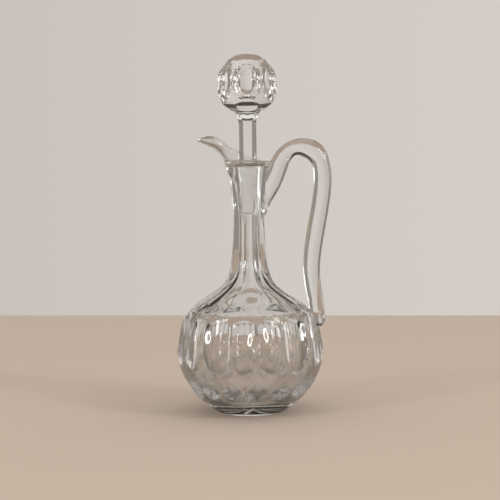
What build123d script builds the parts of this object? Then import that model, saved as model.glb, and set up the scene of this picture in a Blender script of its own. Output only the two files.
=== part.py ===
from build123d import *
import os
from math import atan2, cos, degrees, pi, radians, sin, sqrt

# Cut glass claret jug: a blown and cut body, a solid glass handle and a ground glass stopper.
# Millimetres, +Z up. The origin is the middle of the flat base. The spout points along -X and
# the handle lies along +X, both in the XZ plane.

# Bulb
bulb_radius = 66.0
bulb_centre_height = 60.0
base_radius = 29.0
foot_bevel_height = 5.0
bulb_wall = 9.0
floor_thickness = 12.0
floor_corner_radius = 12.0

# Shoulder, from the bulb up to the waist of the neck, with drops and rises from the bulb's top
shoulder_start_angle = 14.0
shoulder_mid_radius = 53.3
shoulder_mid_drop = 34.0
shoulder_radius = 42.7
shoulder_drop = 24.0
throat_radius = 22.4
throat_drop = 9.0
collar_radius = 16.6
collar_rise = 11.5
shoulder_wall = 7.5

# Neck, mouth and spout
neck_waist_radius = 14.5
neck_waist_height = 166.0
neck_top_radius = 16.3
neck_top_height = 206.0
bore_radius = 5.8
bore_start_height = 140.0
rim_radius = 20.6
rim_height = 224.9
spout_reach = 45.5
spout_crest_height = 247.7
spout_crest_setback = 10.0
spout_wall = 2.2
mouth_floor_radius = 11.0
mouth_ledge = 0.1

# Ground seat and stopper
seat_bottom_height = 178.0
seat_top_height = 221.0
seat_top_radius = 8.8
seat_clearance = 0.05
plug_lift = 0.5
plug_edge = 0.6
stem_corner_radius = 7.8
stem_length = 34.0
stem_flare_radius = 12.0
stem_flare_length = 14.0
ball_radius = 26.4
ball_length = 50.5
ball_widest_rise = 21.5
ball_top_radius = 7.0
stopper_ovals = 6
stopper_turn = 24.0
oval_wheel_radius = 38.0
oval_rim_radius = 21.0
oval_depth = 8.5
oval_rise = 7.5
crown_facet_angle = 58.0
crown_facet_distance = 28.9

# Cutting pattern of the body
neck_slices = 8
slice_end_radius = 48.0
slice_end_drop = 29.6
slice_fade_rise = 8.0
wheel_cuts = 16
flat_start_angle = 18.0
flute_tool_radius = 36.0
flute_bed_radius = 400.0
flute_depth = 5.1
flute_angle = 9.6
flute_half_sweep = 5.0
star_radius = 10.4
star_angle = -33.0
base_ray_depth = 0.8
base_ray_width = 2.6
base_ray_inner_radius = 3.0
base_ray_outer_radius = 24.0

# Handle, with its radius from the low tip of the root over the bend to the pressed foot
handle_tip_radius = 6.5
handle_root_radius = 8.5
handle_rise_radius = 7.5
handle_radius = 8.1
handle_thin_radius = 7.0
handle_foot_radius = 8.5
handle_root_drop = 50.1
handle_rise_x = 33.0
handle_crown_height = 236.6
handle_crown_x = 46.9
handle_reach = 67.4
handle_waist_x = 56.4
handle_foot_angle = 20.6
handle_foot_sink = 1.9

# Places that follow from these sizes
bulb_top = bulb_centre_height + bulb_radius
shoulder_mid = (shoulder_mid_radius, bulb_top - shoulder_mid_drop)
shoulder = (shoulder_radius, bulb_top - shoulder_drop)
throat = (throat_radius, bulb_top - throat_drop)
collar = (collar_radius, bulb_top + collar_rise)
neck_waist = (neck_waist_radius, neck_waist_height)
neck_top = (neck_top_radius, neck_top_height)
slice_end_height = bulb_top - slice_end_drop
slice_fade_height = neck_top_height + slice_fade_rise
slice_share = cos(pi / neck_slices)
flat_share = cos(pi / wheel_cuts)
tool_room = 40.0
outside = bulb_radius + tool_room


def on_sphere(radius, angle):
    """Point of a sphere about the bulb's centre, as (distance from the axis, height)."""
    return (radius * cos(radians(angle)), bulb_centre_height + radius * sin(radians(angle)))


def up_along(angle):
    """Direction up the outline of a sphere at that angle above its middle."""
    return (-sin(radians(angle)), cos(radians(angle)))


def arc_on_bulb(radius, low_angle, high_angle):
    """Arc of a sphere about the bulb's centre, drawn from its low to its high angle."""
    return ThreePointArc(
        on_sphere(radius, low_angle),
        on_sphere(radius, 0.5 * (low_angle + high_angle)),
        on_sphere(radius, high_angle),
    )


def angle_at_height(radius, height):
    """Angle below or above the bulb's middle where its sphere has that height."""
    rise = height - bulb_centre_height
    return degrees(atan2(rise, sqrt(radius**2 - rise**2)))


def bent_tool(centre, bed_radius, tool_radius, middle_angle, half_sweep):
    """Round bar bent about a centre in the XZ plane, with its inner side at the bed radius."""
    low = radians(middle_angle - half_sweep)
    reach = bed_radius + tool_radius
    section = Plane(
        origin=(centre[0] + reach * cos(low), 0, centre[1] + reach * sin(low)),
        x_dir=(cos(low), 0, sin(low)),
        z_dir=(-sin(low), 0, cos(low)),
    )
    with BuildPart() as tool:
        with BuildSketch(section):
            Circle(tool_radius)
        revolve(axis=Axis((centre[0], 0, centre[1]), (0, -1, 0)), revolution_arc=2 * half_sweep)
    return tool.part


def wheel_tool(centre, wheel_radius, rim_radius):
    """Cutting wheel with a round rim, turning about an axis along Y through the centre."""
    half_width = sqrt(rim_radius**2 - (wheel_radius - rim_radius) ** 2)
    with BuildPart() as tool:
        with BuildSketch(Plane(origin=(centre[0], 0, centre[1]))):
            with BuildLine():
                ThreePointArc((0, -half_width), (wheel_radius, 0), (0, half_width))
                Line((0, half_width), (0, -half_width))
            make_face()
        revolve(axis=Axis((centre[0], 0, centre[1]), (0, 1, 0)))
    return tool.part


def lip_point(round_radius, reach, sharpness, turn):
    """Point of a round section whose side towards -X is pulled out to the reach."""
    pull = (0.5 - 0.5 * cos(turn)) ** sharpness
    radius = round_radius + (reach - round_radius) * pull
    return Vector(radius * cos(turn), radius * sin(turn))


def lip_outline(round_radius, reach, sharpness, inset=0.0):
    """Points round such a section, closest together at the nose, moved in by the inset."""
    steps = 9
    crowding = 1.7
    half = [pi * (1 - (step / steps) ** crowding) for step in range(steps + 1)]
    points = []
    for turn in half + [-turn for turn in reversed(half[1:-1])]:
        here = lip_point(round_radius, reach, sharpness, turn)
        along = (lip_point(round_radius, reach, sharpness, turn + 0.001) - here).normalized()
        points.append((here.X - inset * along.Y, here.Y + inset * along.X))
    return points


def mouth_section(share):
    """Height, round radius, reach and sharpness of the mouth at a share of its way up."""
    spout_overrun = 32.5
    rim_share = (rim_height - neck_top_height) / (spout_crest_height + 3.0 - neck_top_height)
    height = neck_top_height + share * (spout_crest_height + 3.0 - neck_top_height)
    round_radius = neck_top_radius + (rim_radius - neck_top_radius) * min(1.1, share / rim_share)
    reach = round_radius + (spout_reach + spout_overrun - round_radius) * share**4.5
    return height, round_radius, reach, 3.0 + 27.0 * share


# Outer form below the mouth, turned about the axis
foot_angle = angle_at_height(bulb_radius, foot_bevel_height)
with BuildPart() as turned_form:
    with BuildSketch(Plane.XZ):
        with BuildLine():
            Polyline((0, neck_top_height), (0, 0), (base_radius, 0), on_sphere(bulb_radius, foot_angle))
            arc_on_bulb(bulb_radius, foot_angle, shoulder_start_angle)
            Spline(
                on_sphere(bulb_radius, shoulder_start_angle),
                shoulder_mid,
                shoulder,
                throat,
                collar,
                neck_waist,
                neck_top,
                tangents=(up_along(shoulder_start_angle), (0.1, 1.0)),
            )
            Line(neck_top, (0, neck_top_height))
        make_face()
    revolve(axis=Axis.Z)

# Mouth: a round section that is pulled out into the spout as it rises
with BuildPart() as mouth:
    for share in (0.0, 0.2, 0.4, 0.55, 0.7, 0.82, 0.92, 1.0):
        height, round_radius, reach, sharpness = mouth_section(share)
        with BuildSketch(Plane.XY.offset(height)):
            with BuildLine():
                ledge = mouth_ledge if share == 0.0 else 0.0
                Spline(*lip_outline(round_radius, reach, sharpness, ledge), periodic=True)
            make_face()
    loft()

with BuildPart() as mouth_hollow:
    with BuildSketch(Plane.XY.offset(seat_top_height)):
        with BuildLine():
            floor_reach = mouth_floor_radius + spout_wall
            Spline(*lip_outline(mouth_floor_radius, floor_reach, 3.0), periodic=True)
        make_face()
    for share in (0.36, 0.48, 0.6, 0.72, 0.83, 0.92, 1.0):
        height, round_radius, reach, sharpness = mouth_section(share)
        with BuildSketch(Plane.XY.offset(height + spout_wall)):
            with BuildLine():
                Spline(*lip_outline(round_radius, reach, sharpness, spout_wall), periodic=True)
            make_face()
    loft()

# Rim line in side view: level at the handle, climbing to the crest of the spout
crest_x = spout_crest_setback - spout_reach
rim_rise = spout_crest_height - rim_height
tip_height = spout_crest_height - 7.0
with BuildPart() as above_rim:
    with BuildSketch(Plane.XZ):
        with BuildLine():
            rim_line = Spline(
                (rim_radius + 6.0, rim_height),
                (0.5 * rim_radius, rim_height + 0.03 * rim_rise),
                (0.15 * rim_radius, rim_height + 0.11 * rim_rise),
                (-0.17 * rim_radius, rim_height + 0.27 * rim_rise),
                (-0.6 * rim_radius, rim_height + 0.46 * rim_rise),
                (-0.95 * rim_radius, rim_height + 0.62 * rim_rise),
                (crest_x + 10.0, spout_crest_height - 3.3),
                (crest_x, spout_crest_height),
                (3.6 - spout_reach, spout_crest_height - 1.7),
                (0.9 - spout_reach, spout_crest_height - 3.3),
                (-0.9 - spout_reach, tip_height),
            )
            Polyline(
                rim_line @ 1,
                (-outside, tip_height),
                (-outside, spout_crest_height + tool_room),
                (rim_radius + 6.0, spout_crest_height + tool_room),
                rim_line @ 0,
            )
        make_face()
    extrude(amount=2 * rim_radius, both=True)

# One slice of the neck: a long flat that ends in a scallop on the shoulder
with BuildPart() as neck_slice:
    with BuildSketch(Plane.XZ):
        with BuildLine():
            slice_line = Spline(
                (slice_end_radius, slice_end_height),
                (shoulder[0] * slice_share, shoulder[1]),
                (throat[0] * slice_share, throat[1]),
                (collar[0] * slice_share, collar[1]),
                (neck_waist[0] * slice_share, neck_waist[1]),
                (neck_top[0] * slice_share, neck_top[1] - 10.0),
                (neck_top[0] + 2.8, slice_fade_height),
            )
            Polyline(
                slice_line @ 1,
                (outside, slice_fade_height),
                (outside, slice_end_height),
                slice_line @ 0,
            )
        make_face()
    extrude(amount=0.5 * bulb_radius, both=True)

# One flat of the shoulder, between the scallops and the arches of the flutes
with BuildPart() as shoulder_flat:
    with BuildSketch(Plane.XZ):
        with BuildLine():
            flat_low = on_sphere(bulb_radius + 0.5, flat_start_angle)
            flat_line = Spline(
                flat_low,
                (shoulder_mid[0] * flat_share, shoulder_mid[1]),
                (shoulder[0] * flat_share, shoulder[1]),
                tangents=(up_along(flat_start_angle + 4.0), up_along(55.0)),
            )
            Polyline(flat_line @ 1, (outside, shoulder[1]), (outside, flat_low[1]), flat_low)
        make_face()
    extrude(amount=0.5 * bulb_radius, both=True)

# One hollow flute of the bulb
flute_deepest = on_sphere(bulb_radius - flute_depth, flute_angle)
flute_centre = (
    flute_deepest[0] - flute_bed_radius * cos(radians(flute_angle)),
    flute_deepest[1] - flute_bed_radius * sin(radians(flute_angle)),
)
flute = bent_tool(flute_centre, flute_bed_radius, flute_tool_radius, flute_angle, flute_half_sweep)

# One round disc low on the bulb, where a star is cut
star_bed = sqrt(bulb_radius**2 - star_radius**2)
star_x, star_height = on_sphere(star_bed, star_angle)
star_out = (cos(radians(star_angle)), 0, sin(radians(star_angle)))
with BuildPart() as star_disc:
    with BuildSketch(Plane(origin=(star_x, 0, star_height), x_dir=(0, 1, 0), z_dir=star_out)):
        Circle(star_radius + 1.0)
    extrude(amount=4 * (bulb_radius - star_bed))

# One ray of the star under the base
with BuildPart() as base_ray:
    with BuildSketch(Plane.YZ.offset(base_ray_inner_radius)):
        with BuildLine():
            half_width = 0.5 * base_ray_width
            Polyline(
                (-half_width, -base_ray_depth),
                (-half_width, 0),
                (0, base_ray_depth),
                (half_width, 0),
                (half_width, -base_ray_depth),
                close=True,
            )
        make_face()
    extrude(amount=base_ray_outer_radius - base_ray_inner_radius)

# Body before it is hollowed
with BuildPart() as solid_body:
    add(turned_form.part)
    add(mouth.part)
    add(above_rim.part, mode=Mode.SUBTRACT)
    with PolarLocations(0, neck_slices):
        add(neck_slice.part, mode=Mode.SUBTRACT)
    with PolarLocations(0, wheel_cuts):
        add(shoulder_flat.part, mode=Mode.SUBTRACT)
        add(star_disc.part, mode=Mode.SUBTRACT)
        add(base_ray.part, mode=Mode.SUBTRACT)
    with PolarLocations(0, wheel_cuts, start_angle=180.0 / wheel_cuts):
        add(flute, mode=Mode.SUBTRACT)

# Hollow of the bulb, bore of the neck and ground seat
inner_radius = bulb_radius - bulb_wall
floor_angle = angle_at_height(inner_radius, floor_thickness)
inner_end_angle = 2 * shoulder_start_angle
floor_corner = on_sphere(inner_radius, floor_angle)
with BuildPart() as hollow:
    with BuildSketch(Plane.XZ):
        with BuildLine():
            Polyline((0, seat_top_height), (0, floor_thickness), floor_corner)
            arc_on_bulb(inner_radius, floor_angle, inner_end_angle)
            Spline(
                on_sphere(inner_radius, inner_end_angle),
                (shoulder[0] - 0.56 * shoulder_wall, shoulder[1] - 0.83 * shoulder_wall),
                (throat[0] - 0.71 * shoulder_wall, throat[1] - 0.71 * shoulder_wall),
                (bore_radius, bore_start_height),
                tangents=(up_along(inner_end_angle), (0, 1)),
            )
            Polyline(
                (bore_radius, bore_start_height),
                (bore_radius, seat_bottom_height),
                (seat_top_radius, seat_top_height),
                (0, seat_top_height),
            )
        make_face()
        fillet(vertices().sort_by_distance(floor_corner)[0], floor_corner_radius)
    revolve(axis=Axis.Z)

with BuildPart() as jug_body:
    add(solid_body.part)
    add(hollow.part, mode=Mode.SUBTRACT)
    add(mouth_hollow.part, mode=Mode.SUBTRACT)

# Handle: a round rod of glass laid from the neck over to the shoulder, with a pressed foot
handle_foot_x, handle_foot_height = on_sphere(bulb_radius - handle_foot_sink, handle_foot_angle)
handle_stations = (
    (0.0, handle_tip_radius),
    (0.06, handle_root_radius - 0.2),
    (0.12, handle_root_radius),
    (0.18, handle_root_radius),
    (0.255, handle_rise_radius),
    (0.33, handle_radius),
    (0.42, handle_radius),
    (0.52, handle_radius),
    (0.62, handle_radius),
    (0.72, handle_radius),
    (0.83, 0.5 * (handle_radius + handle_thin_radius)),
    (0.93, handle_thin_radius),
    (1.0, handle_thin_radius),
)
with BuildLine() as handle_line:
    Spline(
        (3.0, rim_height - handle_root_drop),
        (handle_rise_x - 12.6, rim_height - 20.0),
        (handle_rise_x - 5.0, rim_height - 4.4),
        (handle_rise_x, rim_height + 5.3),
        (handle_crown_x, handle_crown_height),
        (handle_reach - 8.1, rim_height + 7.4),
        (handle_reach, rim_height - 12.0),
        (handle_reach - 1.4, rim_height - 30.4),
        (handle_reach - 5.4, rim_height - 56.0),
        (handle_waist_x, handle_foot_height + 41.0),
        (handle_foot_x, handle_foot_height + 13.5),
        (handle_foot_x, handle_foot_height),
    )
with BuildPart() as applied_handle:
    for share, radius in handle_stations:
        here = handle_line.line @ share
        along = handle_line.line % share
        section = Plane(origin=(here.X, 0, here.Y), x_dir=(0, 1, 0), z_dir=(along.X, 0, along.Y))
        with BuildSketch(section):
            Circle(radius)
    loft()
    with Locations((handle_foot_x, 0, handle_foot_height)):
        Sphere(handle_foot_radius)
    add(solid_body.part, mode=Mode.SUBTRACT)

# Stopper: a ground plug in the seat, a six-sided stem and a ball cut with hollow ovals
seat_slope = (seat_top_radius - bore_radius) / (seat_top_height - seat_bottom_height)
plug_bottom = seat_bottom_height + plug_lift
plug_low_radius = bore_radius + seat_slope * plug_lift - seat_clearance
plug_top_radius = seat_top_radius - seat_clearance
stem_top = seat_top_height + stem_length
ball_bottom = stem_top + stem_flare_length
ball_top = ball_bottom + ball_length
ball_widest = ball_bottom + ball_widest_rise
stem_flat = stem_corner_radius * cos(pi / stopper_ovals)

with BuildPart() as stem_slice:
    with BuildSketch(Plane.XZ):
        with BuildLine():
            stem_line = Spline(
                (stem_flat, stem_top - 6.0),
                (stem_flat + 1.0, stem_top + 0.5 * stem_flare_length),
                (stem_flare_radius + 1.6, ball_bottom + 1.8),
                (ball_radius - 2.0, ball_bottom + 9.0),
                tangents=((0, 1), (1.0, 0.4)),
            )
            Polyline(
                stem_line @ 1,
                (2 * ball_radius, ball_bottom + 9.0),
                (2 * ball_radius, seat_top_height),
                (stem_flat, seat_top_height),
                stem_line @ 0,
            )
        make_face()
    extrude(amount=ball_radius, both=True)

wheel_centre = (ball_radius - oval_depth + oval_wheel_radius, ball_widest + oval_rise)
oval = wheel_tool(wheel_centre, oval_wheel_radius, oval_rim_radius)

crown_out = (cos(radians(crown_facet_angle)), sin(radians(crown_facet_angle)))
crown_plane = Plane(
    origin=(crown_facet_distance * crown_out[0], 0, ball_widest + crown_facet_distance * crown_out[1]),
    x_dir=(0, 1, 0),
    z_dir=(crown_out[0], 0, crown_out[1]),
)
with BuildPart() as crown_facet:
    with BuildSketch(crown_plane):
        Rectangle(2 * ball_radius, 2 * ball_radius)
    extrude(amount=ball_radius)

with BuildPart() as stopper:
    with BuildSketch(Plane.XZ):
        with BuildLine():
            Polyline(
                (0, ball_top),
                (0, plug_bottom),
                (plug_low_radius, plug_bottom),
                (plug_top_radius, seat_top_height),
                (stem_corner_radius, seat_top_height + plug_edge),
                (stem_corner_radius, stem_top),
            )
            Spline(
                (stem_corner_radius, stem_top),
                (stem_flare_radius, ball_bottom),
                tangents=((0, 1), (0.8, 1)),
            )
            Spline(
                (stem_flare_radius, ball_bottom),
                (0.83 * ball_radius, ball_bottom + 0.13 * ball_length),
                (ball_radius, ball_widest),
                (0.9 * ball_radius, ball_bottom + 0.72 * ball_length),
                (0.65 * ball_radius, ball_bottom + 0.9 * ball_length),
                (ball_top_radius, ball_top),
                tangents=((1, 0.35), (-1, 0.25)),
            )
            Line((ball_top_radius, ball_top), (0, ball_top))
        make_face()
    revolve(axis=Axis.Z)
    with PolarLocations(0, stopper_ovals, start_angle=stopper_turn):
        add(stem_slice.part, mode=Mode.SUBTRACT)
        add(oval, mode=Mode.SUBTRACT)
    with PolarLocations(0, stopper_ovals, start_angle=stopper_turn + 180.0 / stopper_ovals):
        add(crown_facet.part, mode=Mode.SUBTRACT)
    chamfer(stopper.faces().sort_by(Axis.Z)[0].edges(), plug_edge)

jug_body.part.label = "jug_body"
applied_handle.part.label = "applied_handle"
stopper.part.label = "stopper"
os.makedirs("parts", exist_ok=True)
for piece in (jug_body, applied_handle, stopper):
    export_step(piece.part, f"parts/{piece.part.label}.step")
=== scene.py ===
import bpy
from math import atan2, cos, pi, radians, sin
from mathutils import Matrix, Vector


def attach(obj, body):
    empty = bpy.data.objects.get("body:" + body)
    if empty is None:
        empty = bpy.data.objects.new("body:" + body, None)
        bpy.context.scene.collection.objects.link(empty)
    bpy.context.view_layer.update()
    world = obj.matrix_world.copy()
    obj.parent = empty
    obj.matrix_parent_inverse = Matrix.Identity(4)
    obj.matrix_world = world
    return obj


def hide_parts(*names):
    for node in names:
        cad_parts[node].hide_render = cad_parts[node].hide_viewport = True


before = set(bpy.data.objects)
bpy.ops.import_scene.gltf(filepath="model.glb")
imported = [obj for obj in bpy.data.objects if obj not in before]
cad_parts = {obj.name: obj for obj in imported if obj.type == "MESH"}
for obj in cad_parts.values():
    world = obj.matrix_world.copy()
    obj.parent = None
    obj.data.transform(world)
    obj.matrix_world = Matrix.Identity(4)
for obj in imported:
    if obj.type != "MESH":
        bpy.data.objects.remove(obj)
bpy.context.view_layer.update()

sameSpot = 0.0001              # slack in telling the cutter's vertices by their place
weldDistance = 0.000001
mixColours = (6, 7, 2)         # the sockets of a mix node that carry its colours: two inputs, one output


def deselect():
    if bpy.context.object and bpy.context.object.mode != "OBJECT":
        bpy.ops.object.mode_set(mode="OBJECT")
    bpy.ops.object.select_all(action="DESELECT")


def grab(*pieces):
    deselect()
    for piece in pieces:
        piece.select_set(True)
    bpy.context.view_layer.objects.active = pieces[0]


def pickVertices(piece, test):
    # leaves the piece in edit mode with only the vertices that pass the test selected
    grab(piece)
    bpy.ops.object.mode_set(mode="EDIT")
    bpy.ops.mesh.select_mode(type="VERT")
    bpy.ops.mesh.select_all(action="DESELECT")
    bpy.ops.object.mode_set(mode="OBJECT")
    for vertex in piece.data.vertices:
        vertex.select = test(vertex.co)
    bpy.ops.object.mode_set(mode="EDIT")


def applyModifiers(piece):
    grab(piece)
    for modifier in list(piece.modifiers):
        bpy.ops.object.modifier_apply(modifier=modifier.name)


def copyPiece(piece, name):
    copied = piece.copy()
    copied.data = piece.data.copy()
    copied.name = name
    copied.parent = None
    bpy.context.scene.collection.objects.link(copied)
    return copied


def bakePlace(piece):
    grab(piece)
    bpy.ops.object.transform_apply(location=True, rotation=True, scale=True)


def newMaterial(name):
    material = bpy.data.materials.new(name)
    material.use_nodes = True
    return material, material.node_tree


def dress(piece, material):
    piece.data.materials.clear()
    piece.data.materials.append(material)


def feed(tree, socket, value):
    # an output is linked to the socket, anything else is set on it
    if isinstance(value, bpy.types.NodeSocket):
        tree.links.new(value, socket)
    else:
        socket.default_value = value


def addOperation(tree, kind, operation, values):
    node = tree.nodes.new(kind)
    node.operation = operation
    for socket, value in zip(node.inputs, values):
        feed(tree, socket, value)
    return node.outputs


def compute(tree, operation, *values):
    return addOperation(tree, "ShaderNodeMath", operation, values)[0]


def computeVector(tree, operation, *values):
    outputs = addOperation(tree, "ShaderNodeVectorMath", operation, values)
    return outputs["Vector" if operation == "SUBTRACT" else "Value"]


def sumOfSquares(tree, x, y):
    return compute(tree, "ADD", compute(tree, "MULTIPLY", x, x), compute(tree, "MULTIPLY", y, y))


def ramp(tree, value, limits, bottom=0.0):
    node = tree.nodes.new("ShaderNodeMapRange")
    node.interpolation_type = "SMOOTHSTEP"
    node.inputs["From Min"].default_value, node.inputs["From Max"].default_value = limits
    node.inputs["To Min"].default_value = bottom
    tree.links.new(value, node.inputs["Value"])
    return node.outputs[0]


def blend(tree, share, first, second):
    node = tree.nodes.new("ShaderNodeMix")
    node.data_type = "RGBA"
    firstSocket, secondSocket, result = mixColours
    tree.links.new(share, node.inputs["Factor"])
    feed(tree, node.inputs[firstSocket], first)
    feed(tree, node.inputs[secondSocket], second)
    return node.outputs[result]


def splitPlace(tree, kind):
    # the place on a piece, or the direction in the world, whole and as x, y and z
    place = tree.nodes.new("ShaderNodeTexCoord").outputs[kind]
    split = tree.nodes.new("ShaderNodeSeparateXYZ")
    tree.links.new(place, split.inputs[0])
    return place, *split.outputs


def addNoise(tree, place, detail, scale=5.0):
    node = tree.nodes.new("ShaderNodeTexNoise")
    node.inputs["Detail"].default_value = detail
    feed(tree, node.inputs["Scale"], scale)
    tree.links.new(place, node.inputs["Vector"])
    return node.outputs["Fac"]


def addBump(tree, height, distance, strength):
    node = tree.nodes.new("ShaderNodeBump")
    tree.links.new(height, node.inputs["Height"])
    feed(tree, node.inputs["Distance"], distance)
    feed(tree, node.inputs["Strength"], strength)
    return node


# Star cut by the wheel low on the bulb: a shallow dish of v-shaped rays that meet in the middle
starCut = dict(
    count=16,
    rays=24,
    radius=0.0104,             # where the rays run out on the bulb
    margin=1.04,               # reach of the cutter, as a share of that radius
    depth=0.00115,             # at the middle of the star
    rise=0.0914,               # height of a ridge over its ray, for each metre from the middle
    rings=7,
    cutterHeight=0.003,
    bulbMiddle=0.060,
    bulbRadius=0.066,
    angle=-33.0,               # degrees up from the bulb's middle
    maskDepth=1.4,             # how deep the mask of the grooves reaches, in depths of the star
    groove=(0.2, 0.7),         # where a groove fades in, as a cosine that is 1 along its bottom
)
starTilt = radians(starCut["angle"])
starBed = (starCut["bulbRadius"] ** 2 - starCut["radius"] ** 2) ** 0.5    # from the bulb's middle
starMiddle = (starBed * cos(starTilt), 0, starCut["bulbMiddle"] + starBed * sin(starTilt))


def makeStarCutter():
    look = starCut
    reach = look["radius"] * look["margin"]
    deselect()
    bpy.ops.mesh.primitive_circle_add(vertices=2 * look["rays"], radius=reach, fill_type="TRIFAN")
    cutter = bpy.context.object
    cutter.name = "star_cutter"
    bpy.ops.object.mode_set(mode="EDIT")
    bpy.ops.mesh.select_mode(type="EDGE")
    bpy.ops.mesh.select_all(action="DESELECT")
    bpy.ops.object.mode_set(mode="OBJECT")
    for edge in cutter.data.edges:
        edge.select = any(cutter.data.vertices[i].co.length < sameSpot for i in edge.vertices)
    bpy.ops.object.mode_set(mode="EDIT")
    bpy.ops.mesh.subdivide(number_cuts=look["rings"] - 1)
    step = pi / look["rays"]
    for ring in range(look["rings"] + 1):
        distance = reach * ring / look["rings"]
        ray = -look["depth"] * (1 - (distance / look["radius"]) ** 2)
        for part in (0, 1):                        # the rays, then the ridges between them
            if ring == 0 and part == 1:
                continue

            def onPart(place):
                turn = round(atan2(place.y, place.x) / step)
                near = abs(place.xy.length - distance) < sameSpot
                return near and (ring == 0 or turn % 2 == part)

            pickVertices(cutter, onPart)
            bpy.ops.transform.translate(value=(0, 0, ray + part * look["rise"] * distance))
    pickVertices(cutter, lambda place: place.xy.length > reach - sameSpot)
    bpy.ops.mesh.extrude_region_move()
    bpy.ops.transform.resize(value=(1, 1, 0), center_override=(0, 0, 0))
    bpy.ops.transform.translate(value=(0, 0, look["cutterHeight"]))
    bpy.ops.mesh.edge_face_add()
    bpy.ops.mesh.select_all(action="SELECT")
    bpy.ops.mesh.remove_doubles(threshold=weldDistance)
    bpy.ops.mesh.normals_make_consistent(inside=False)
    deselect()
    return cutter


# Ground zones are two heights and a reach from the axis. Worn is the ring that the jug stands on.
bodyLook = dict(
    smoothAngle=14,
    colour=(0.985, 0.99, 0.985, 1),
    ior=1.545,
    groundLow=0.1775,          # the seat
    groundHigh=0.2212,
    groundReach=0.0098,
    matt=0.20,
    worn=0.22,
    waveHeight=0.000004,
    waveSize=40.0,
    starMatt=0.6,
)


def makeJugBody():
    look = starCut
    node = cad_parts["jug_body"]
    body = copyPiece(node, "cut_body")
    grab(body)
    bpy.ops.object.mode_set(mode="EDIT")
    bpy.ops.mesh.select_all(action="SELECT")
    bpy.ops.mesh.remove_doubles(threshold=weldDistance)
    deselect()
    first = makeStarCutter()
    facing = Matrix.Rotation(radians(90 - look["angle"]), 4, "Y")
    cutters = []
    for number in range(look["count"]):
        cutter = copyPiece(first, "star_cutter_copy")
        turn = Matrix.Rotation(2 * pi * number / look["count"], 4, "Z")
        cutter.matrix_world = turn @ Matrix.Translation(starMiddle) @ facing
        bakePlace(cutter)
        cutters.append(cutter)
    bpy.data.objects.remove(first)
    grab(*cutters)
    bpy.ops.object.join()
    cutter = bpy.context.object
    cut = body.modifiers.new("stars", "BOOLEAN")
    cut.operation = "DIFFERENCE"
    cut.solver = "EXACT"
    cut.object = cutter
    applyModifiers(body)
    bpy.data.objects.remove(cutter)
    grab(body)
    bpy.ops.mesh.customdata_custom_splitnormals_clear()
    bpy.ops.object.shade_smooth_by_angle(angle=radians(bodyLook["smoothAngle"]))
    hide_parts("jug_body")
    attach(body, "jug")
    print("body cut, faces", len(body.data.polygons))
    return body


body = makeJugBody()

handleLook = dict(
    colour=(0.985, 0.99, 0.985, 1),
    ior=1.545,
    groundLow=-1.0,            # below the floor, so nothing of the handle is ground
    groundHigh=-0.9,
    groundReach=0.001,
    matt=0.0,
    worn=0.0,
    waveHeight=0.00006,
    waveSize=38.0,
    starMatt=0.0,
)
stopperLook = dict(
    colour=(0.985, 0.99, 0.985, 1),
    ior=1.545,
    groundLow=0.1770,          # the plug
    groundHigh=0.2213,
    groundReach=0.0098,
    matt=0.18,
    worn=0.0,
    waveHeight=0.000004,
    waveSize=60.0,
    starMatt=0.0,
)
finishInputs = {
    "Ground low": "groundLow",
    "Ground high": "groundHigh",
    "Ground reach": "groundReach",
    "Matt": "matt",
    "Worn": "worn",
    "Wave height": "waveHeight",
    "Wave size": "waveSize",
}
finishLook = dict(
    streakScale=(120, 120, 1400),    # the grinder's marks run round the plug
    streakDetail=3.0,
    mattEven=0.6,                    # part of the matt finish that is even all over
    mattStreaks=0.8,                 # and part that follows the marks
    groundBump=0.00004,
    scratchScale=900.0,
    scratchDetail=4.0,
    scratches=1.6,                   # how strongly they roughen the worn ring
    wornHeight=0.0007,               # what lies lower than this is worn
    waveDetail=1.0,
)


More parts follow.
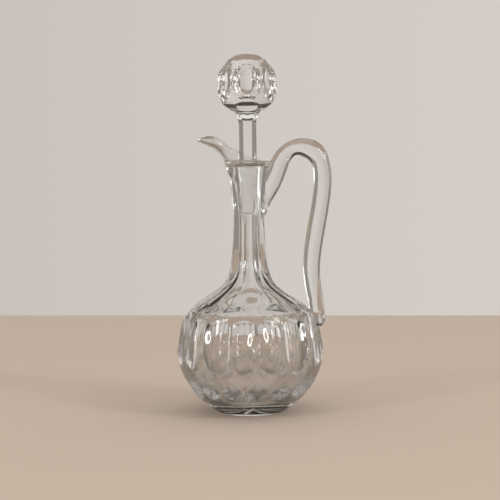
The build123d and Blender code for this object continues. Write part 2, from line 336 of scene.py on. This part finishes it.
def makeGlassFinish():
    # roughness and normal of polished glass with one ground zone round the axis and a worn standing ring
    look = finishLook
    tree = bpy.data.node_groups.new("glass_finish", "ShaderNodeTree")
    for name in finishInputs:
        tree.interface.new_socket(name=name, in_out="INPUT", socket_type="NodeSocketFloat")
    tree.interface.new_socket(name="Roughness", in_out="OUTPUT", socket_type="NodeSocketFloat")
    tree.interface.new_socket(name="Normal", in_out="OUTPUT", socket_type="NodeSocketVector")
    given = tree.nodes.new("NodeGroupInput").outputs
    result = tree.nodes.new("NodeGroupOutput").inputs
    place, x, y, z = splitPlace(tree, "Object")

    above = compute(tree, "GREATER_THAN", z, given["Ground low"])
    below = compute(tree, "LESS_THAN", z, given["Ground high"])
    fromAxis = compute(tree, "SQRT", sumOfSquares(tree, x, y))
    within = compute(tree, "LESS_THAN", fromAxis, given["Ground reach"])
    ground = compute(tree, "MULTIPLY", compute(tree, "MULTIPLY", above, below), within)
    stretch = tree.nodes.new("ShaderNodeMapping")
    stretch.inputs["Scale"].default_value = look["streakScale"]
    tree.links.new(place, stretch.inputs["Vector"])
    streaks = addNoise(tree, stretch.outputs[0], look["streakDetail"])
    uneven = compute(tree, "MULTIPLY", streaks, look["mattStreaks"])
    mattLevel = compute(tree, "MULTIPLY", given["Matt"], compute(tree, "ADD", look["mattEven"], uneven))

    scratches = addNoise(tree, place, look["scratchDetail"], look["scratchScale"])
    standing = compute(tree, "LESS_THAN", z, look["wornHeight"])
    wornLevel = compute(
        tree, "MULTIPLY",
        compute(tree, "MULTIPLY", standing, given["Worn"]),
        compute(tree, "MULTIPLY", scratches, look["scratches"]),
    )
    mattGround = compute(tree, "MULTIPLY", ground, mattLevel)
    tree.links.new(compute(tree, "ADD", mattGround, wornLevel), result["Roughness"])

    waves = addNoise(tree, place, look["waveDetail"], given["Wave size"])    # no face is quite true
    waveBump = addBump(tree, waves, given["Wave height"], 1.0)
    groundBump = addBump(tree, streaks, look["groundBump"], ground)
    tree.links.new(waveBump.outputs[0], groundBump.inputs["Normal"])
    tree.links.new(groundBump.outputs[0], result["Normal"])
    return tree


glassFinish = makeGlassFinish()


def makeStarMask():
    # 1 along the grooves of the cut stars and 0 elsewhere
    look = starCut
    tree = bpy.data.node_groups.new("star_mask", "ShaderNodeTree")
    tree.interface.new_socket(name="Mask", in_out="OUTPUT", socket_type="NodeSocketFloat")
    place, x, y, z = splitPlace(tree, "Object")

    step = 2 * pi / look["count"]
    fromAxis = compute(tree, "SQRT", sumOfSquares(tree, x, y))
    angle = compute(tree, "ARCTAN2", y, x)
    number = compute(tree, "ROUND", compute(tree, "DIVIDE", angle, step))
    local = compute(tree, "SUBTRACT", angle, compute(tree, "MULTIPLY", number, step))
    turned = tree.nodes.new("ShaderNodeCombineXYZ")    # the point turned round the axis to the first star
    feed(tree, turned.inputs[0], compute(tree, "MULTIPLY", fromAxis, compute(tree, "COSINE", local)))
    feed(tree, turned.inputs[1], compute(tree, "MULTIPLY", fromAxis, compute(tree, "SINE", local)))
    feed(tree, turned.inputs[2], z)
    fromMiddle = computeVector(tree, "DISTANCE", turned.outputs[0], starMiddle)
    onStar = compute(tree, "LESS_THAN", fromMiddle, look["radius"])
    fromBulb = computeVector(tree, "DISTANCE", place, (0, 0, look["bulbMiddle"]))
    outer = compute(tree, "GREATER_THAN", fromBulb, starBed - look["maskDepth"] * look["depth"])

    offset = computeVector(tree, "SUBTRACT", turned.outputs[0], starMiddle)
    upward = computeVector(tree, "DOT_PRODUCT", offset, (-sin(starTilt), 0, cos(starTilt)))
    across = tree.nodes.new("ShaderNodeSeparateXYZ")
    tree.links.new(offset, across.inputs[0])
    bearing = compute(tree, "ARCTAN2", across.outputs["Y"], upward)
    alongRay = compute(tree, "COSINE", compute(tree, "MULTIPLY", bearing, look["rays"]))
    groove = ramp(tree, alongRay, look["groove"])
    mask = compute(tree, "MULTIPLY", compute(tree, "MULTIPLY", onStar, outer), groove)
    tree.links.new(mask, tree.nodes.new("NodeGroupOutput").inputs["Mask"])
    return tree


starMask = makeStarMask()


def makeGlass(name, look):
    material, tree = newMaterial(name)
    shader = tree.nodes["Principled BSDF"]
    shader.inputs["Base Color"].default_value = look["colour"]
    shader.inputs["IOR"].default_value = look["ior"]
    shader.inputs["Metallic"].default_value = 0.0
    shader.inputs["Transmission Weight"].default_value = 1.0
    finish = tree.nodes.new("ShaderNodeGroup")
    finish.node_tree = glassFinish
    for socket, key in finishInputs.items():
        finish.inputs[socket].default_value = look[key]
    roughness = finish.outputs["Roughness"]
    if look["starMatt"] > 0:
        star = tree.nodes.new("ShaderNodeGroup")
        star.node_tree = starMask
        mattGrooves = compute(tree, "MULTIPLY", star.outputs["Mask"], look["starMatt"])
        roughness = compute(tree, "ADD", roughness, mattGrooves)
    tree.links.new(roughness, shader.inputs["Roughness"])
    tree.links.new(finish.outputs["Normal"], shader.inputs["Normal"])
    return material


dress(body, makeGlass("cut_crystal", bodyLook))
dress(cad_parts["applied_handle"], makeGlass("drawn_crystal", handleLook))
dress(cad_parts["stopper"], makeGlass("stopper_crystal", stopperLook))
print("glass finished")

camera = dict(
    distance=1.45,
    height=0.264,
    turn=-6.0,
    pitch=4.68,
    roll=-0.75,
    lens=116.94,
    sensor=36.0,
    shift=0.0018,
    farthest=20.0,
)
cameraData = bpy.data.cameras.new("camera")
cameraData.sensor_width = camera["sensor"]
cameraData.lens = camera["lens"]
cameraData.shift_x = camera["shift"]
cameraData.clip_end = camera["farthest"]
cameraObject = bpy.data.objects.new("camera", cameraData)
bpy.context.scene.collection.objects.link(cameraObject)
turn = radians(camera["turn"])
cameraPlace = (camera["distance"] * sin(turn), -camera["distance"] * cos(turn), camera["height"])
cameraObject.matrix_world = (
    Matrix.Translation(cameraPlace)
    @ Matrix.Rotation(turn, 4, "Z")
    @ Matrix.Rotation(radians(90 - camera["pitch"]), 4, "X")
    @ Matrix.Rotation(radians(camera["roll"]), 4, "Z")
)
bpy.context.scene.camera = cameraObject
bpy.context.scene.view_settings.view_transform = "Standard"
bpy.context.scene.cycles.max_bounces = 40
bpy.context.scene.cycles.transmission_bounces = 40
bpy.context.scene.cycles.glossy_bounces = 24

floorLook = dict(
    colour=(0.68, 0.58, 0.49, 1),
    # painted shade: a set colour, darker than the floor, that glows where glass shows the floor
    paintedShadeThroughGlass=(0.28, 0.215, 0.165, 1),
    paintedDarkInFacets=(0.03, 0.022, 0.016, 1),    # painted dark shade, shown where the light came by way of an inner face of the glass
    share=0.55,                          # share of these two painted colours in what glass shows of the floor
    roughness=0.9,
    sheen=0.0,
    width=6.0,
    front=-3.2,
    back=0.70,
    turn=-12.1,
)


def makeFloorMaterial():
    look = floorLook
    material, tree = newMaterial("pale_floor")
    shader = tree.nodes["Principled BSDF"]
    shader.inputs["Base Color"].default_value = look["colour"]
    shader.inputs["Roughness"].default_value = look["roughness"]
    shader.inputs["Specular IOR Level"].default_value = look["sheen"]
    path = tree.nodes.new("ShaderNodeLightPath").outputs
    # glass sees the floor partly as a painted colour that glows in place of the floor's own light and
    # shade
    paintedFloorGlow = tree.nodes.new("ShaderNodeEmission")
    # picks the painted dark shade where the light came by way of an inner face of the glass
    mirrored = compute(tree, "GREATER_THAN", path["Glossy Depth"], 0.5)
    tree.links.new(blend(tree, mirrored, look["paintedShadeThroughGlass"], look["paintedDarkInFacets"]), paintedFloorGlow.inputs["Color"])
    byGlass = compute(tree, "MAXIMUM", path["Is Transmission Ray"], path["Is Glossy Ray"])
    mix = tree.nodes.new("ShaderNodeMixShader")
    tree.links.new(compute(tree, "MULTIPLY", byGlass, look["share"]), mix.inputs[0])
    tree.links.new(shader.outputs[0], mix.inputs[1])
    tree.links.new(paintedFloorGlow.outputs[0], mix.inputs[2])
    tree.links.new(mix.outputs[0], tree.nodes["Material Output"].inputs["Surface"])
    return material


deselect()
bpy.ops.mesh.primitive_plane_add(size=1.0)
floor = bpy.context.object
floor.name = "floor"
floor.scale = (floorLook["width"], floorLook["back"] - floorLook["front"], 1)
floor.location = (0, 0.5 * (floorLook["back"] + floorLook["front"]), 0)
bakePlace(floor)
floor.rotation_euler = (0, 0, radians(floorLook["turn"]))
bakePlace(floor)
dress(floor, makeFloorMaterial())

# Pale walls all round, painted darker on the left than on the right as shade. Only glass sees the dark
# gaps at their four corners and under the ceiling, which are painted dark reflections.
surroundings = dict(
    # one wall colour, painted in shade on the left and in light on the right
    wallLeftInShade=(0.54, 0.495, 0.465, 1),
    wallRightInLight=(0.67, 0.62, 0.585, 1),
    dark=(0.035, 0.030, 0.026, 1),
    ceiling=(0.85, 0.82, 0.78, 1),
    wallSides=(-0.35, 0.40),       # from the left wall's painted shade to the right one's lighter tone, across x
    corner=(0.78, 0.90),           # sine of twice the bearing without its sign, 1 in a corner
    behind=(-0.1, 0.1),            # across y, from the gaps in front to the fainter ones behind
    fainter=0.35,                  # what the gaps behind lose of their darkness
    topGap=(0.36, 0.46),           # height at which the gap under the ceiling begins
    ceilingEdge=(0.80, 0.86),
    nearZero=0.0001,               # keeps the bearing defined straight up and down
)


def makeSurroundings():
    look = surroundings
    world = bpy.data.worlds.new("world")
    bpy.context.scene.world = world
    world.use_nodes = True
    tree = world.node_tree
    x, y, z = splitPlace(tree, "Generated")[1:]
    # painted shade: the walls darker towards the left
    wall = blend(tree, ramp(tree, x, look["wallSides"]), look["wallLeftInShade"], look["wallRightInLight"])
    product = compute(tree, "MULTIPLY", 2.0, compute(tree, "MULTIPLY", x, y))
    flat = compute(tree, "ADD", sumOfSquares(tree, x, y), look["nearZero"])
    corner = ramp(tree, compute(tree, "DIVIDE", compute(tree, "ABSOLUTE", product), flat), look["corner"])
    fainter = compute(tree, "MULTIPLY", ramp(tree, y, look["behind"]), look["fainter"])
    sides = compute(tree, "MULTIPLY", corner, compute(tree, "SUBTRACT", 1.0, fainter))
    gap = compute(tree, "MAXIMUM", sides, ramp(tree, z, look["topGap"]))
    path = tree.nodes.new("ShaderNodeLightPath").outputs
    byGlass = compute(tree, "MAXIMUM", path["Is Transmission Ray"], path["Is Glossy Ray"])
    lower = blend(tree, compute(tree, "MULTIPLY", gap, byGlass), wall, look["dark"])
    everything = blend(tree, ramp(tree, z, look["ceilingEdge"]), lower, look["ceiling"])
    tree.links.new(everything, tree.nodes["Background"].inputs["Color"])
    tree.nodes["Background"].inputs["Strength"].default_value = 1.0


makeSurroundings()

# Soft windows: place, point they face, width and height, power in watts and colour
windows = dict(
    rightWindow=((1.7, -1.5, 1.25), (0, 0, 0.15), (0.45, 1.1), 13, (1.0, 0.985, 0.96)),
    leftWindow=((-1.9, -1.2, 0.95), (0, 0, 0.15), (0.3, 0.9), 8, (1.0, 0.985, 0.97)),
    leftGlint=((-2.163, 0.402, 0.25), (0, 0, 0.07), (0.35, 0.5), 2.0, (1.0, 0.99, 0.98)),
    rightGlint=((2.115, 0.605, 0.25), (0, 0, 0.07), (0.35, 0.5), 2.0, (1.0, 0.99, 0.98)),
    leftRing=((-1.32, -2.0, 0.53), (0, 0, 0.07), (0.62, 0.15), 4.0, (1.0, 0.99, 0.98)),
    rightRing=((1.62, -1.78, 0.53), (0, 0, 0.07), (0.62, 0.15), 4.0, (1.0, 0.99, 0.98)),
)
ringLook = dict(
    middle=(0.5, 0.5, 0.0),
    edge=(0.26, 0.32),             # from the middle, where the dim part gives way to the bright ring
    dim=0.12,
)


def addWindow(name, place, aim, size, power, colour):
    data = bpy.data.lights.new(name, "AREA")
    data.shape = "RECTANGLE"
    data.size, data.size_y = size
    data.energy = power
    data.color = colour
    lamp = bpy.data.objects.new(name, data)
    bpy.context.scene.collection.objects.link(lamp)
    lamp.location = place
    lamp.rotation_euler = (Vector(aim) - Vector(place)).to_track_quat("-Z", "Y").to_euler()
    lamp.visible_camera = False
    return lamp


def makeRing(lamp):
    # a round softbox with a dim middle, which the flutes mirror as small bright rings
    lamp.data.shape = "ELLIPSE"
    lamp.data.use_nodes = True
    tree = lamp.data.node_tree
    surface = tree.nodes.new("ShaderNodeNewGeometry")
    fromMiddle = computeVector(tree, "DISTANCE", surface.outputs["Parametric"], ringLook["middle"])
    strength = ramp(tree, fromMiddle, ringLook["edge"], ringLook["dim"])
    tree.links.new(strength, tree.nodes["Emission"].inputs["Strength"])


lamps = {name: addWindow(name, *lamp) for name, lamp in windows.items()}
for name in ("leftGlint", "rightGlint", "leftRing", "rightRing"):
    lamps[name].visible_diffuse = False            # only glass shows them
makeRing(lamps["leftRing"])
makeRing(lamps["rightRing"])
print("camera, floor and light placed")
